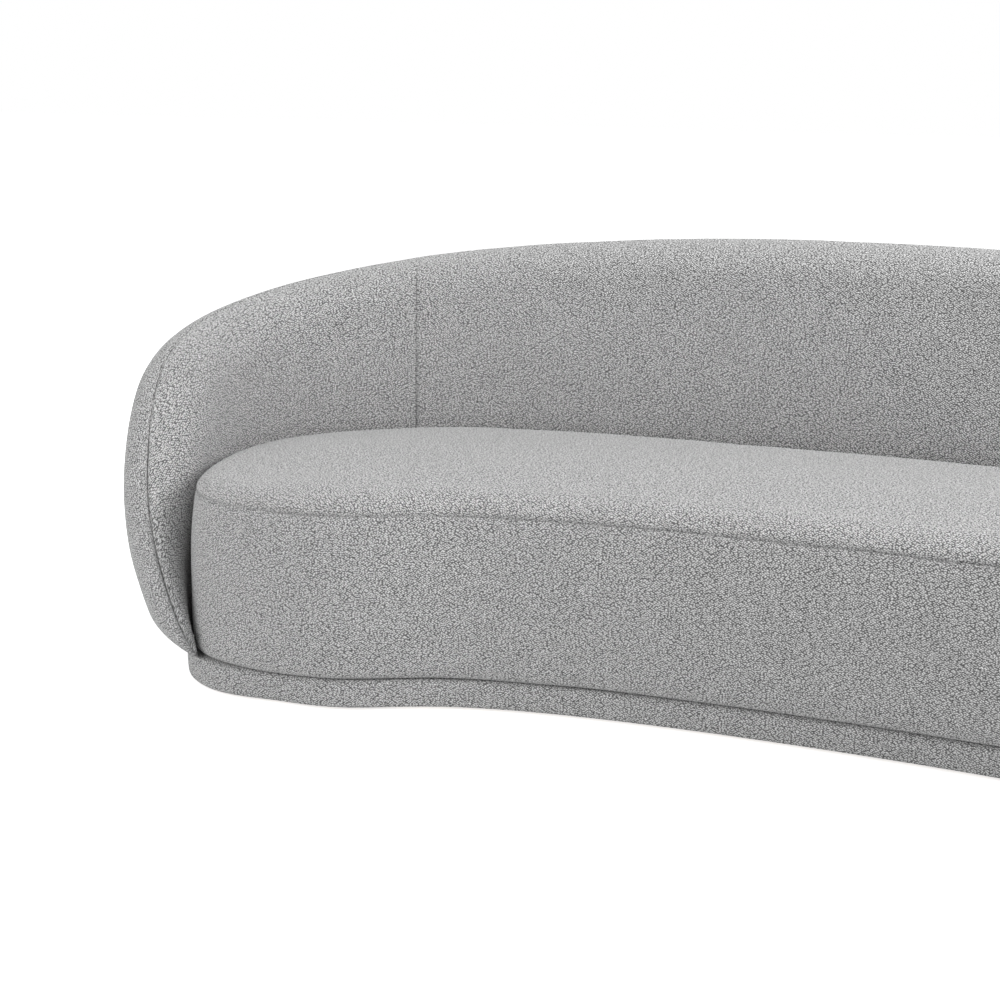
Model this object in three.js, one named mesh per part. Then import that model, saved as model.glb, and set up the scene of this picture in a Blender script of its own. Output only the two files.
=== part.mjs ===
// Curved crescent sofa: a padded seat on a low plinth, held by one wall that is back and arms.
// Millimetres, +Z up. The front faces -Y, and the two halves mirror each other across X = 0.

import * as THREE from 'three';
import { mergeVertices } from 'three/addons/utils/BufferGeometryUtils.js';

// General clearances and stock
const fit = 0.3;                    // between pieces that touch
const slack = 6;                    // between the timber frame and the foam round it
const ply = 18;                     // plywood sheet
const skin = 3;                     // lined upholstery cloth
const mergeReach = 0.001;
const searchSteps = 40;

// Seat plan
const seatHalfLength = 1178;
const seatDepth = 500;              // on the centre line
const noseReach = 135;              // how far the front swells forward beside each end
const nosePlaceShare = 0.781;        // of the half length
const endPlaceShare = 0.2;          // of the depth, where the seat is longest
const frontEaseShares = [0.693, 0.215];
const noseEaseShares = [0.165, 0.34];
const rearEaseShares = [0.64, 0.634];
const frontSteps = 9;
const noseSteps = 6;
const rearSteps = frontSteps + noseSteps;

// Feet and plinth
const glideHeight = 6;
const glideRadius = 17;
const glideSet = 16;                // how far the glides stand in from the middle of the plinth's side
const glideSteps = [-9, -3, 3, 9];   // seat stations from the middle
const plinthHeight = 40;
const plinthPad = 8;                // cloth and wadding round the plinth
const plinthSpread = 16;            // how far it stands out under the wall
const plinthRise = 12;              // how far that cloth climbs past the plinth at the front
const plinthCorner = 5;
const coverDropBehind = 90;         // its top steps down this far behind the arm's front edge
const plinthJoistSteps = [-6, 0, 6];
const dustCoverThick = 1.5;

// Seat block
const footTuck = 16;                // how far the face curls in at its foot
const footRise = 26;
const hemLap = 40;                  // its foot hangs lower, past the deck's edge, to here behind the arm's front
const footSteps = 2;
const bellyHeight = 200;
const seamHeight = 360;
const seamSet = 16;                 // how far the seam stands behind the belly
const rollWidth = 66;
const rollHeight = 400;
const crownHeight = 412;
const edgeSteps = 3;
const crownShares = [0.4, 0.75];
const rearRollShare = 0.25;         // the roll is this much narrower against the back
const spineShare = 0.76;            // length of the crown's ridge, of the half length
const spineBow = 95;                // how far the ridge's ends come forward
const railHeight = 179;
const coreHeight = 70;
const topperEase = 1.2;             // clearance of the foam's top under its cloth
const seatJoistSteps = [-6, 0, 6];

// Webbing under the seat foam
const webWidth = 60;
const webThick = 2;
const webEndSet = 4;                // the straps end this far in from the middle of the rails
const crossWebSteps = [-8, -5, -3, 0, 3, 5, 8];
const longWebShares = [0.36, 0.64];
const longWebEndSteps = [-2, 2];    // stations either side of the seat's end
const flatShare = 0.6;              // of the width: how far a strap stays level beside a crossing

// Back and arm wall
const seatGap = 4;                  // between the seat's face and the wall
const backHeight = 775;
const armHeight = 590;              // where the front edge turns into the top
const armFrontShare = 0.405;        // places along the half outline, from the front's middle
const armShoulderShare = 0.5178;
const wallFoot = 108;               // outer face beyond the seat's outline, at the foot of the back
const armFoot = 54;                 // at the foot of the arm's front, which is slimmer
const armTaper = 420;               // length over which the one grows into the other
const wallTop = 190;                // and at full height
const wallTuck = 34;                // how far the outer face turns in at its foot
const wallTuckRise = 70;
const hemRaiseEnd = 115;            // the outer cloth's foot is raised up to here behind the arm's front
const hemRaiseRun = 30;
const wallLean = 68;                // lean of the inner face, from the seat to full height
const leanBowShare = 1.3;
const armEaseShares = [0.0203, 0.261, 0.061, 0.175];
const backEaseShares = [0.0592, 0.164, 0.279];
const armFan = 120;                 // how far the section lines lean along the arm's front edge
const armFanShare = 0.5;
const frameDrop = 46;               // foam over the frame
const innerFoam = 40;               // at full height
const lowFoam = 18;                 // and at the foot, behind the seat
const outerFoam = 18;
const wallSteps = 24;               // per half
const panelSeamStep = 13;           // where the inner cloth's panels meet
const wallStartShare = 0.02;
const foamStartShare = 0.06;
const deckStartShare = 0.12;        // the deck runs out under the wall from here
const rollSteps = 3;
const rollLimitShare = 0.7;
const wallRows = 4;

// Wall frame
const ribCount = 11;
const ribStartShare = 0.487;
const ribRows = 5;
const ribSlotWidth = 16;
const ribSlotMargin = 60;
const midRailHeight = 60;
const midRailBottom = 290;
const midRailThick = 12;
const topRailWidth = 34;
const frameBaySteps = 4;

// Bolts that hold the wall to the deck
const boltRadius = 4;
const boltHeadRadius = 9;
const boltHead = 4;
const boltBaySteps = [1, 4, 5, 8];      // between which ribs
const roundSides = 12;

// Levels
const plinthTop = glideHeight + plinthHeight;
const deckBottom = plinthTop + fit;
const deckTop = deckBottom + ply;
const footLevel = deckTop + fit;
const hemLevel = plinthTop + plinthRise + fit;
const tuckTop = deckBottom + wallTuckRise;
const railTop = footLevel + railHeight;
const webLift = (webThick + fit) / 2;
const webLevel = railTop + fit + webLift + webThick / 2;
const webRest = railTop + fit + webThick / 2;
const coreBottom = webLevel + webLift + webThick / 2 + fit;
const coreTop = coreBottom + coreHeight;

// Colours
const cloth = { color: 0xcfcbc4, roughness: 0.95, metalness: 0 };
const timber = { color: 0xc9a878, roughness: 0.7, metalness: 0 };
const foam = { color: 0xf0e6c8, roughness: 0.9, metalness: 0 };
const strap = { color: 0x3b3d42, roughness: 0.8, metalness: 0 };
const plastic = { color: 0x222222, roughness: 0.5, metalness: 0 };
const steel = { color: 0xb4b6b8, roughness: 0.35, metalness: 0.9 };

const sofa = new THREE.Group();

function add(name, geometry, finish) {
  const mesh = new THREE.Mesh(geometry, new THREE.MeshStandardMaterial(finish));
  mesh.name = name;
  sofa.add(mesh);
  return mesh;
}

// The outline's left half: front middle, swelling nose, end, rear middle.
function leftHalf() {
  const length = seatHalfLength;
  const at = (x, y) => new THREE.Vector2(x, y);
  const beside = (p, dx, dy) => at(p.x + dx, p.y + dy);
  const front = at(0, 0);
  const nose = at(-nosePlaceShare * length, -noseReach);
  const end = at(-length, endPlaceShare * seatDepth);
  const rear = at(0, seatDepth);
  return [
    new THREE.CubicBezierCurve(front, beside(front, -frontEaseShares[0] * length, 0),
      beside(nose, frontEaseShares[1] * length, 0), nose),
    new THREE.CubicBezierCurve(nose, beside(nose, -noseEaseShares[0] * length, 0),
      beside(end, 0, -noseEaseShares[1] * seatDepth), end),
    new THREE.CubicBezierCurve(end, beside(end, 0, rearEaseShares[0] * seatDepth),
      beside(rear, -rearEaseShares[1] * length, 0), rear),
  ];
}

const leftCurves = leftHalf();
const outline = new THREE.CurvePath();
leftCurves.forEach((curve) => outline.add(curve));
const halfLength = outline.getLength();

// A place on the outline, by its distance from the front's middle: a point, and the direction
// that points away from the seat. Distances past the rear's middle lie on the mirrored half.
function placeAt(distance) {
  const turned = (distance + 2 * halfLength) % (2 * halfLength);
  const mirrored = turned > halfLength;
  const share = (mirrored ? 2 * halfLength - turned : turned) / halfLength;
  const point = outline.getPoint(share);
  const along = outline.getTangent(share);
  const side = mirrored ? -1 : 1;
  return { x: side * point.x, y: point.y, nx: -side * along.y, ny: along.x };
}

function offset(place, out, z) {
  return new THREE.Vector3(place.x + out * place.nx, place.y + out * place.ny, z);
}

// Stations for everything that goes round the seat: as many along the front as along the rear,
// so that each front station has a partner behind it.
function seatStations() {
  const steps = [frontSteps, noseSteps, rearSteps];
  const half = [];
  let start = 0;
  leftCurves.forEach((curve, k) => {
    const length = curve.getLength();
    for (let i = 0; i < steps[k]; i += 1) {
      half.push(start + (length * i) / steps[k]);
    }
    start += length;
  });
  const mirrored = half.slice(1).reverse().map((d) => 2 * halfLength - d);
  return [...half, halfLength, ...mirrored];
}

const stationDistances = seatStations();
const stations = stationDistances.map(placeAt);
const stationCount = stations.length;
const armFront = armFrontShare * halfLength;
const fromFront = (i) => Math.min(stationDistances[i], 2 * halfLength - stationDistances[i]);
const stationAt = (step) => (step + stationCount) % stationCount;
const partnerOf = (step) => stationAt(2 * rearSteps - step);

// Mesh building

function signedVolume(points, faces) {
  let sum = 0;
  faces.forEach(([a, b, c]) => {
    sum += points[a].dot(new THREE.Vector3().crossVectors(points[b], points[c]));
  });
  return sum;
}

function geometryOf(points, faces) {
  const turned = signedVolume(points, faces) < 0 ? faces.map(([a, b, c]) => [a, c, b]) : faces;
  const loose = new THREE.BufferGeometry();
  const numbers = points.flatMap((p) => p.toArray());
  loose.setAttribute('position', new THREE.Float32BufferAttribute(numbers, 3));
  loose.setIndex(turned.flat());
  const merged = mergeVertices(loose, mergeReach);
  const index = merged.getIndex().array;
  const kept = [];
  for (let i = 0; i < index.length; i += 3) {
    const [a, b, c] = [index[i], index[i + 1], index[i + 2]];
    if (a !== b && b !== c && c !== a) {
      kept.push(a, b, c);
    }
  }
  merged.setIndex(kept);
  return merged;
}

// The faces that close one section, wound the way its points run.
function endFaces(flat, start, reversed) {
  const faces = THREE.ShapeUtils.triangulateShape(flat, []);
  const wound = faces.reduce((sum, face) => sum + THREE.ShapeUtils.area(face.map((k) => flat[k])), 0);
  const kept = (wound * THREE.ShapeUtils.area(flat) > 0) !== reversed;
  return faces.map(([a, b, c]) => (kept ? [start + a, start + b, start + c] : [start + a, start + c, start + b]));
}

// Joins closed sections of equal count into one skin: a ring, or a length with two flat ends.
// Each four-sided patch is split along its shorter diagonal, so that parallel skins stay parallel.
function loft(sections, flatEnds) {
  const count = sections[0].length;
  const faces = [];
  const spans = flatEnds ? sections.length - 1 : sections.length;
  for (let i = 0; i < spans; i += 1) {
    const here = i * count;
    const next = ((i + 1) % sections.length) * count;
    const [from, to] = [sections[i], sections[(i + 1) % sections.length]];
    for (let j = 0; j < count; j += 1) {
      const k = (j + 1) % count;
      if (from[j].distanceTo(to[k]) < from[k].distanceTo(to[j])) {
        faces.push([here + j, next + j, next + k], [here + j, next + k, here + k]);
      } else {
        faces.push([here + j, next + j, here + k], [next + j, next + k, here + k]);
      }
    }
  }
  if (flatEnds) {
    faces.push(...endFaces(flatEnds[0], 0, false));
    faces.push(...endFaces(flatEnds[1], spans * count, true));
  }
  return geometryOf(sections.flat(), faces);
}

// Stacks rings of seat stations and closes both ends with strips from front to rear.
function stack(rings) {
  const faces = [];
  for (let i = 0; i < rings.length - 1; i += 1) {
    const low = i * stationCount;
    const high = low + stationCount;
    for (let j = 0; j < stationCount; j += 1) {
      const k = stationAt(j + 1);
      faces.push([low + j, high + j, high + k], [low + j, high + k, low + k]);
    }
  }
  const top = (rings.length - 1) * stationCount;
  for (let k = -rearSteps; k < rearSteps; k += 1) {
    const front = [stationAt(-k), stationAt(-k - 1)];
    const rear = front.map(partnerOf);
    const quad = [front[0], front[1], rear[1], rear[0]];
    faces.push([top + quad[0], top + quad[1], top + quad[2]], [top + quad[0], top + quad[2], top + quad[3]]);
    faces.push([quad[0], quad[2], quad[1]], [quad[0], quad[3], quad[2]]);
  }
  return geometryOf(rings.flat(), faces);
}

// A ring that follows the whole outline, with a section of [out, z] points at each place.
function ringLoft(sectionAt) {
  return loft(stations.map((place, i) => sectionAt(place, i).map(([out, z]) => offset(place, out, z))));
}

function rectangle(inner, outer, bottom, top) {
  return [[inner, bottom], [outer, bottom], [outer, top], [inner, top]];
}

// A length along part of the outline. The section may change with the distance.
function lengthLoft(distances, sectionAt) {
  const flats = distances.map(sectionAt);
  const sections = flats.map((flat, i) => {
    const place = placeAt(distances[i]);
    return flat.map(([out, z]) => offset(place, out, z));
  });
  const ends = [flats[0], flats[flats.length - 1]];
  return loft(sections, ends.map((flat) => flat.map(([out, z]) => new THREE.Vector2(out, z))));
}

function polygon(points) {
  return points.map((p) => new THREE.Vector2(p.x, p.y));
}

function roundHole(centre, radius) {
  const points = [];
  for (let i = 0; i < roundSides; i += 1) {
    const turn = (2 * Math.PI * i) / roundSides;
    points.push(new THREE.Vector2(centre.x + radius * Math.cos(turn), centre.y + radius * Math.sin(turn)));
  }
  return new THREE.Path(points);
}

function board(points, holes, bottom, thickness) {
  const shape = new THREE.Shape(polygon(points));
  shape.holes.push(...holes);
  const geometry = new THREE.ExtrudeGeometry(shape, { depth: thickness, bevelEnabled: false });
  geometry.translate(0, 0, bottom);
  return geometry;
}

// Seat face

// How far the seat's face stands from the outline, and its skin's inner side.
function faceProfile(i) {
  const hem = fromFront(i) < armFront + hemLap ? hemLevel : footLevel;
  const outer = [];
  const inner = [];
  for (let j = 0; j <= footSteps; j += 1) {
    const turn = (Math.PI / 2) * (j / footSteps);
    outer.push([-footTuck * (1 - Math.sin(turn)), hem + footRise * (1 - Math.cos(turn))]);
    inner.push([outer[j][0] - skin * Math.sin(turn), outer[j][1] + skin * Math.cos(turn)]);
  }
  [0, 1 / 2, 1].forEach((share) => {
    const z = bellyHeight + (seamHeight - fit / 2 - bellyHeight) * share;
    outer.push([-seamSet * share * share, z]);
    inner.push([-seamSet * share * share - skin, z]);
  });
  return [...outer, ...inner.reverse()];
}

function faceOut(z) {
  const share = Math.max(0, (z - bellyHeight) / (seamHeight - bellyHeight));
  return -seamSet * share * share;
}

// A ring of the seat's top. Inset shrinks it evenly. Turns run over the rolled edge, and
// beyond the edge the ring draws in towards the crown's ridge.
function topRing(turn, ridgeShare, inset) {
  return stations.map((place) => {
    const narrow = 1 + (rearRollShare - 1) * (1 + place.ny) / 2;
    const out = -seamSet - rollWidth * narrow * (1 - Math.cos(turn)) - inset * Math.cos(turn);
    const edgeLevel = seamHeight + fit / 2;
    const rise = (crownHeight - rollHeight) * (1 - (1 - ridgeShare) ** 2);
    const z = edgeLevel + (rollHeight - edgeLevel) * Math.sin(turn) + rise - inset * Math.sin(turn);
    const edge = offset(place, out, z);
    const ridgeX = edge.x * spineShare;
    const ridgeY = seatDepth / 2 - spineBow * (ridgeX / (spineShare * seatHalfLength)) ** 2;
    return edge.lerp(new THREE.Vector3(ridgeX, ridgeY, z), ridgeShare);
  });
}

function topRings(inset) {
  const rings = [];
  for (let i = 0; i <= edgeSteps; i += 1) {
    rings.push(topRing((Math.PI / 2) * (i / edgeSteps), 0, inset));
  }
  crownShares.forEach((share) => rings.push(topRing(Math.PI / 2, share, inset)));
  return rings;
}

const levelRing = (out, z) => stations.map((place) => offset(place, out, z));

function makeSeatCloth() {
  add('seat_border_cover', ringLoft((place, i) => faceProfile(i)), cloth);
  const top = [...topRings(skin).reverse(), ...topRings(0)];
  add('seat_top_cover', stack(top), cloth);
}

function makeSeatFoam() {
  const under = skin + slack / 2;
  add('seat_foam_core', stack([
    levelRing(faceOut(coreBottom) - under, coreBottom),
    levelRing(faceOut(coreTop) - under, coreTop),
  ]), foam);
  const topperBottom = coreTop + fit;
  add('seat_foam_topper', stack([
    levelRing(faceOut(topperBottom) - under, topperBottom),
    levelRing(faceOut(seamHeight) - under, seamHeight - fit),
    ...topRings(skin + topperEase),
  ]), foam);
  const padBottom = footLevel + footRise;
  const padOut = -(skin + slack / 2);
  add('seat_side_pad', ringLoft(() => rectangle(-footTuck, padOut, padBottom, railTop)), foam);
}

// Seat frame

const railOuter = -(footTuck + 2 * fit);
const railInner = railOuter - ply;
const webEnd = (railOuter + railInner) / 2 - webEndSet;

function distancesBetween(from, to) {
  const inside = stationDistances.concat(stationDistances.map((d) => d - 2 * halfLength))
    .filter((d) => d > from + slack && d < to - slack)
    .sort((a, b) => a - b);
  return [from + fit / 2, ...inside, to - fit / 2];
}

function makeSeatRails() {
  const nose = stationDistances[frontSteps];
  const shoulder = stationDistances[2 * rearSteps - frontSteps];
  const around = 2 * halfLength;
  const spans = {
    seat_front_rail: [-nose, nose],
    seat_left_rail: [nose, shoulder],
    seat_rear_rail: [shoulder, around - shoulder],
    seat_right_rail: [around - shoulder, around - nose],
  };
  Object.entries(spans).forEach(([name, [from, to]]) => {
    const section = () => rectangle(railInner, railOuter, footLevel, railTop);
    add(name, lengthLoft(distancesBetween(from, to), section), timber);
  });
}

// A plank on edge between two places, clear of the timber at both ends.
function makeJoist(name, [front, rear], bottom, top) {
  const run = rear.clone().sub(front);
  const geometry = new THREE.BoxGeometry(run.length() - 2 * slack, ply, top - bottom);
  const mesh = add(name, geometry, timber);
  mesh.position.set((front.x + rear.x) / 2, (front.y + rear.y) / 2, (bottom + top) / 2);
  mesh.rotation.z = Math.atan2(run.y, run.x);
}

// A flat strap through the given points.
function ribbon(points) {
  const sections = points.map((point, i) => {
    const before = points[Math.max(i - 1, 0)];
    const after = points[Math.min(i + 1, points.length - 1)];
    const along = after.clone().sub(before).setZ(0).normalize();
    const across = new THREE.Vector3(-along.y, along.x, 0).multiplyScalar(webWidth / 2);
    const low = point.clone().setZ(point.z - webThick / 2);
    const high = point.clone().setZ(point.z + webThick / 2);
    return [low.clone().sub(across), low.clone().add(across), high.clone().add(across), high.clone().sub(across)];
  });
  const flat = polygon([new THREE.Vector2(-webWidth, -webThick), new THREE.Vector2(webWidth, -webThick),
    new THREE.Vector2(webWidth, webThick), new THREE.Vector2(-webWidth, webThick)]);
  return loft(sections, [flat, flat]);
}

// The crossings of the woven straps. Over is +1 where the cross strap passes over the long one.
function crossing(i, j) {
  const step = crossWebSteps[i];
  const front = offset(stations[stationAt(step)], webEnd, 0);
  const rear = offset(stations[partnerOf(step)], webEnd, 0);
  return { point: front.clone().lerp(rear, longWebShares[j]), front, rear, over: (i + j) % 2 ? 1 : -1 };
}

function flatsAt(point, along, level) {
  const reach = along.clone().multiplyScalar(webWidth * flatShare);
  return [point.clone().sub(reach).setZ(level), point.clone().add(reach).setZ(level)];
}

function makeWebbing() {
  crossWebSteps.forEach((step, i) => {
    const { front, rear } = crossing(i, 0);
    const along = rear.clone().sub(front).normalize();
    const points = [front.clone().setZ(webRest)];
    longWebShares.forEach((share, j) => {
      const { point, over } = crossing(i, j);
      points.push(...flatsAt(point, along, webLevel + over * webLift));
    });
    points.push(rear.clone().setZ(webRest));
    add(`webbing_cross_${i + 1}`, ribbon(points), strap);
  });
  longWebShares.forEach((share, j) => {
    const end = rearSteps + longWebEndSteps[j];
    const points = [offset(stations[end], webEnd, webRest)];
    const count = crossWebSteps.length;
    for (let i = count - 1; i >= 0; i -= 1) {
      const { point, over } = crossing(i, j);
      const along = new THREE.Vector3(1, 0, 0);
      points.push(...flatsAt(point, along, webLevel - over * webLift));
    }
    points.push(offset(stations[stationAt(-end)], webEnd, webRest));
    add(`webbing_long_${j + 1}`, ribbon(points), strap);
  });
}

// Back and arm wall. Along the wall it is drawn on a sheet: distance along the outline, and height.
// The crest is the sheet's upper edge, from the arm's foot over the shoulder to the middle.

const crest = new THREE.CurvePath();
const crestFoot = new THREE.Vector2(armFront, deckBottom);
const shoulder = new THREE.Vector2(armShoulderShare * halfLength, armHeight);
const crestMiddle = new THREE.Vector2(halfLength, backHeight);
const sheet = (from, dx, dz) => new THREE.Vector2(from.x + dx * halfLength, from.y + dz * armHeight);
crest.add(new THREE.CubicBezierCurve(crestFoot, sheet(crestFoot, armEaseShares[0], armEaseShares[1]),
  sheet(shoulder, -armEaseShares[2], -armEaseShares[3]), shoulder));
crest.add(new THREE.CubicBezierCurve(shoulder, sheet(shoulder, backEaseShares[0], backEaseShares[1]),
  sheet(crestMiddle, -backEaseShares[2], 0), crestMiddle));

function wallInner(z) {
  const share = Math.max(0, (z - rollHeight) / (backHeight - rollHeight));
  return seatGap + wallLean * share ** leanBowShare;
}

function footOut(distance) {
  const fromArm = Math.min(distance, 2 * halfLength - distance) - armFront;
  const share = Math.min(Math.max(fromArm / armTaper, 0), 1);
  return armFoot + (wallFoot - armFoot) * share * share * (3 - 2 * share);
}

// The foot of the wall's outer cloth: over the plinth's cloth at the arm's front, and past the
// deck's edge behind it.
function wallHem(distance) {
  const fromArm = Math.min(distance, 2 * halfLength - distance) - armFront;
  const share = Math.min(Math.max((hemRaiseEnd - fromArm) / hemRaiseRun, 0), 1);
  return deckBottom + (hemLevel - deckBottom) * share;
}

function wallOuter(distance, z) {
  const foot = footOut(distance);
  const share = (z - deckBottom) / (backHeight - deckBottom);
  const tuck = wallTuck * Math.max(0, 1 - (z - wallHem(distance)) / wallTuckRise) ** 2;
  return foot + (wallTop - foot) * Math.sin((Math.PI / 2) * share) - tuck;
}

const wallMiddle = (spot) => (wallInner(spot.y) + wallOuter(spot.x, spot.y)) / 2;
const wallHalf = (spot) => (wallOuter(spot.x, spot.y) - wallInner(spot.y)) / 2;

function foamThickness(z) {
  return lowFoam + (innerFoam - lowFoam) * Math.min(1, (z - footLevel) / (rollHeight - footLevel));
}

const frameInner = (z) => wallInner(z) + skin + fit + foamThickness(z) + slack;
const frameOuter = (distance, z) => wallOuter(distance, z) - skin - fit - outerFoam - slack;
const bulge = (share) => (share < 1 ? Math.sqrt(1 - (1 - Math.max(share, 0)) ** 2) : 1);

// One section line of the wall, from the crest down to the foot. Way runs from 0 at the left
// arm's foot to 1 at the middle and 2 at the right arm's foot.
function column(way) {
  const share = Math.min(way, 2 - way);
  const top = crest.getPoint(share);
  const along = crest.getTangent(share);
  const inward = new THREE.Vector2(along.y, -along.x);
  const fan = Math.min(share / armFanShare, 1);
  const foot = new THREE.Vector2(top.x + 4 * armFan * fan * (1 - fan), deckBottom);
  const end = foot.clone().sub(top).dot(inward);
  const depthAt = (z) => end * (top.y - z) / (top.y - deckBottom);
  const place = (depth) => top.clone().lerp(foot, depth / end);
  const hem = depthAt(wallHem(foot.x));
  return { way, top, end, place, hem, stand: depthAt(footLevel), tuck: depthAt(tuckTop), roll: wallHalf(top) };
}

// A point of the wall's surface: side -1 is the inner face and 1 the outer, depth is measured
// from the crest, and inset goes in from the surface.
function wallOut(line, side, depth, inset) {
  const spot = line.place(depth);
  const swell = (wallHalf(spot) - inset) * bulge((depth - inset) / (line.roll - inset));
  return wallMiddle(spot) + side * Math.max(swell, fit / 2);
}

// Even rows from a depth down to where the outer face turns in, and two over its turned foot.
function rowsBelow(line, from) {
  const low = Math.max(line.tuck, line.stand - (line.stand - from) / wallRows);
  const depths = [];
  for (let i = 1; i < wallRows; i += 1) {
    depths.push(from + (low - from) * (i / (wallRows - 1)));
  }
  return [...depths, (low + line.stand) / 2, line.stand];
}

function wallDepths(line, inset) {
  const roll = Math.min(line.roll, rollLimitShare * line.stand);
  const depths = [];
  for (let i = 0; i <= rollSteps; i += 1) {
    depths.push(inset + (roll - inset) * (1 - Math.cos((Math.PI / 2) * (i / rollSteps))));
  }
  return [...depths, ...rowsBelow(line, roll)];
}

function clothSection(line, side) {
  const section = [0, skin].map((inset) => {
    const depths = wallDepths(line, inset);
    if (side > 0) {
      depths.push(line.hem);
    }
    return depths.map((depth) => [depth, wallOut(line, side, depth, inset)]);
  });
  return [...section[0], ...section[1].reverse()];
}

function foamSection(line, side) {
  const inset = skin + fit;
  const face = wallDepths(line, inset).map((depth) => [depth, wallOut(line, side, depth, inset)]);
  const frameSide = (depth) => {
    const spot = line.place(depth);
    const middle = wallMiddle(spot) + side * fit;
    return side < 0 ? Math.min(frameInner(spot.y) - slack, middle)
      : Math.max(frameOuter(spot.x, spot.y) + slack, middle);
  };
  const shelf = Math.min(frameDrop, line.stand / 2);
  const hollow = [shelf, ...rowsBelow(line, shelf)].reverse().map((depth) => [depth, frameSide(depth)]);
  return [...face, ...hollow, [shelf, wallMiddle(line.place(shelf)) + side * fit / 2]];
}

function wallLoft(ways, sectionAt) {
  const lines = ways.map(column);
  const flats = lines.map(sectionAt);
  const sections = lines.map((line, i) => flats[i].map(([depth, out]) => {
    const spot = line.place(depth);
    const distance = line.way > 1 ? 2 * halfLength - spot.x : spot.x;
    return offset(placeAt(distance), out, spot.y);
  }));
  const ends = [flats[0], flats[flats.length - 1]];
  return loft(sections, ends.map((flat) => flat.map(([depth, out]) => new THREE.Vector2(depth, out))));
}

// Every layer of the wall shares these section lines, so that the layers stay parallel.
const innerWays = [];
for (let i = 2; i <= wallSteps; i += 1) {
  innerWays.push(i / wallSteps);
}
const halfWays = [wallStartShare, foamStartShare, ...innerWays];
const mirrorWays = (ways) => [...ways, ...ways.slice(0, -1).reverse().map((way) => 2 - way)];
const clothWays = mirrorWays(halfWays);
const foamWays = mirrorWays(halfWays.slice(1));

function makeWallCloth() {
  const inner = (line) => clothSection(line, -1);
  const shift = fit / 2 / crest.getLength();
  const seam = panelSeamStep / wallSteps;
  const before = halfWays.filter((way) => way < seam - shift);
  const left = [...before, seam - shift];
  const between = clothWays.filter((way) => way > seam + shift && way < 2 - seam - shift);
  add('back_inner_cover_left', wallLoft(left, inner), cloth);
  add('back_inner_cover_middle', wallLoft([seam + shift, ...between, 2 - seam - shift], inner), cloth);
  add('back_inner_cover_right', wallLoft(left.map((way) => 2 - way), inner), cloth);
  add('back_outer_cover', wallLoft(clothWays, (line) => clothSection(line, 1)), cloth);
}

function makeWallFoam() {
  add('back_inner_foam', wallLoft(foamWays, (line) => foamSection(line, -1)), foam);
  add('back_outer_foam', wallLoft(foamWays, (line) => foamSection(line, 1)), foam);
}

// Wall frame

// The height at which the wall is a given depth below its crest, at a distance along it.
function levelUnder(distance, depth) {
  const target = distance > halfLength ? 2 * halfLength - distance : distance;
  let low = 0;
  let high = 1;
  for (let i = 0; i < searchSteps; i += 1) {
    const middle = (low + high) / 2;
    const line = crest.getPoint(middle);
    const along = crest.getTangent(middle);
    if (line.x + depth * along.y < target) {
      low = middle;
    } else {
      high = middle;
    }
  }
  return crest.getPoint(low).y - depth * crest.getTangent(low).x;
}

const baseRailTop = footLevel + ply;
const ribBottom = baseRailTop + fit;
const topRailDepth = frameDrop + slack;
const ribDepth = topRailDepth + ply + fit;
const ribDistances = [];
for (let i = 0; i < ribCount; i += 1) {
  const start = ribStartShare * halfLength;
  ribDistances.push(start + (2 * (halfLength - start) * i) / (ribCount - 1));
}
const frameDistances = [ribDistances[0] - ply];
for (let i = 0; i < ribCount - 1; i += 1) {
  for (let j = 0; j < frameBaySteps; j += 1) {
    frameDistances.push(ribDistances[i] + (ribDistances[i + 1] - ribDistances[i]) * (j / frameBaySteps));
  }
}
frameDistances.push(ribDistances[ribCount - 1], ribDistances[ribCount - 1] + ply);

const boltDistances = boltBaySteps.map((bay) => (ribDistances[bay] + ribDistances[bay + 1]) / 2);
const midRailInner = frameInner(midRailBottom + midRailHeight);
const baseInner = frameInner(footLevel);
const deckOuter = wallOuter(halfLength, deckBottom) - skin - fit - slack;
const boltPlaces = boltDistances.map((d) => offset(placeAt(d), (baseInner + deckOuter) / 2, 0));

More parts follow.
